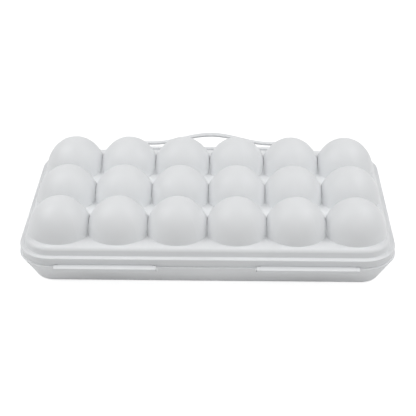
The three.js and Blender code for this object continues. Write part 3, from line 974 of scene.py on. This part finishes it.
def make_camera():
    """The photograph's camera."""
    place = Vector((CAMERA_X, CAMERA_Y, DECK_Z + CAMERA_ABOVE_DECK))
    level = Vector((math.cos(CAMERA_YAW), -math.sin(CAMERA_YAW), 0))
    forward = Vector((math.sin(CAMERA_YAW), math.cos(CAMERA_YAW), 0))
    ahead = forward * math.cos(CAMERA_PITCH) - Vector((0, 0, math.sin(CAMERA_PITCH)))
    down = ahead.cross(level)
    right = level * math.cos(CAMERA_ROLL) + down * math.sin(CAMERA_ROLL)
    up = level * math.sin(CAMERA_ROLL) - down * math.cos(CAMERA_ROLL)
    turn = Matrix((right, up, -ahead)).transposed()
    data = bpy.data.cameras.new("camera")
    data.sensor_width = SENSOR_WIDTH
    data.lens = FOCAL_PIXELS / FRAME_PIXELS * SENSOR_WIDTH
    data.clip_end = CAMERA_FAR_LIMIT
    camera = bpy.data.objects.new("camera", data)
    camera.matrix_world = Matrix.Translation(place) @ turn.to_4x4()
    bpy.context.scene.collection.objects.link(camera)
    bpy.context.scene.camera = camera


def soft_lamp(name, place, size, power):
    """A square soft lamp that looks at the middle of the box's foot."""
    data = bpy.data.lights.new(name, "AREA")
    data.size = size
    data.energy = power
    lamp = bpy.data.objects.new(name, data)
    lamp.location = place
    lamp.rotation_euler = (-Vector(place)).to_track_quat("-Z", "Y").to_euler()
    bpy.context.scene.collection.objects.link(lamp)


def seen_directly(tree):
    """One for rays from the camera and for mirror and glass rays, otherwise zero."""
    path = tree.nodes.new("ShaderNodeLightPath")
    seen = path.outputs["Is Camera Ray"]
    for kind in ("Is Glossy Ray", "Is Transmission Ray"):
        either = tree.nodes.new("ShaderNodeMath")
        either.operation = "MAXIMUM"
        tree.links.new(seen, either.inputs[0])
        tree.links.new(path.outputs[kind], either.inputs[1])
        seen = either.outputs[0]
    return seen


def make_world():
    """White to the camera, and a plain even light on the object."""
    world = bpy.data.worlds.new("world")
    world.use_nodes = True
    tree = world.node_tree
    background = tree.nodes["Background"]
    background.inputs["Color"].default_value = (1, 1, 1, 1)
    strength = add_range(tree, seen_directly(tree), (0, 1), (SKY_STRENGTH, 1))
    tree.links.new(strength, background.inputs["Strength"])
    bpy.context.scene.world = world


def grey_diffuse(tree, grey):
    """A dull grey surface."""
    diffuse = tree.nodes.new("ShaderNodeBsdfDiffuse")
    diffuse.inputs["Color"].default_value = (grey, grey, grey, 1)
    return diffuse.outputs[0]


def floor_material():
    """A pale floor that looks white and still shows the object's soft shadow."""
    material = bpy.data.materials.new("floor")
    material.use_nodes = True
    tree = material.node_tree
    tree.nodes.remove(tree.nodes["Principled BSDF"])
    glow = tree.nodes.new("ShaderNodeEmission")
    glow.inputs["Strength"].default_value = SHOWN_FLOOR_GLOW
    shown = tree.nodes.new("ShaderNodeAddShader")
    tree.links.new(grey_diffuse(tree, SHOWN_FLOOR_GREY), shown.inputs[0])
    tree.links.new(glow.outputs[0], shown.inputs[1])
    either = tree.nodes.new("ShaderNodeMixShader")
    tree.links.new(seen_directly(tree), either.inputs[0])
    tree.links.new(grey_diffuse(tree, FLOOR_GREY), either.inputs[1])
    tree.links.new(shown.outputs[0], either.inputs[2])
    tree.links.new(either.outputs[0], tree.nodes["Material Output"].inputs["Surface"])
    return material


def make_floor():
    """A wide floor just under the box."""
    bm = bmesh.new()
    bmesh.ops.create_grid(bm, x_segments=1, y_segments=1, size=FLOOR_SIZE)
    mesh = bpy.data.meshes.new("floor")
    bm.to_mesh(mesh)
    bm.free()
    mesh.materials.append(floor_material())
    floor = bpy.data.objects.new("floor", mesh)
    floor.location.z = -FLOOR_DROP
    bpy.context.scene.collection.objects.link(floor)


def make_studio():
    """Plain soft light from high on both sides, a little from the front, over a pale floor."""
    bpy.context.scene.view_settings.view_transform = "Standard"
    make_world()
    make_floor()
    for name, side in BOTH_SIDES:
        place = (side * SIDE_LAMP_REACH, 0, SIDE_LAMP_HEIGHT)
        soft_lamp(f"{name}_lamp", place, SIDE_LAMP_SIZE, SIDE_LAMP_POWER)
    front_place = (0, -FRONT_LAMP_REACH, FRONT_LAMP_HEIGHT)
    soft_lamp("front_lamp", front_place, FRONT_LAMP_SIZE, FRONT_LAMP_POWER)


# The whole scene

shell_plastic = moulded_plastic("shell_plastic", *SHELL_PLASTIC)
rack_plastic = moulded_plastic("rack_plastic", *RACK_PLASTIC)
pin_plastic = moulded_plastic("pin_plastic", *PIN_PLASTIC)

make_camera()
make_studio()
make_tray(shell_plastic)
make_rack(rack_plastic)
make_lid(shell_plastic)
make_handle(shell_plastic)
for pin_name, pin_side in BOTH_SIDES:
    make_hinge_pin(pin_name, pin_side, pin_plastic)
    make_handle_pin(pin_name, pin_side, pin_plastic)
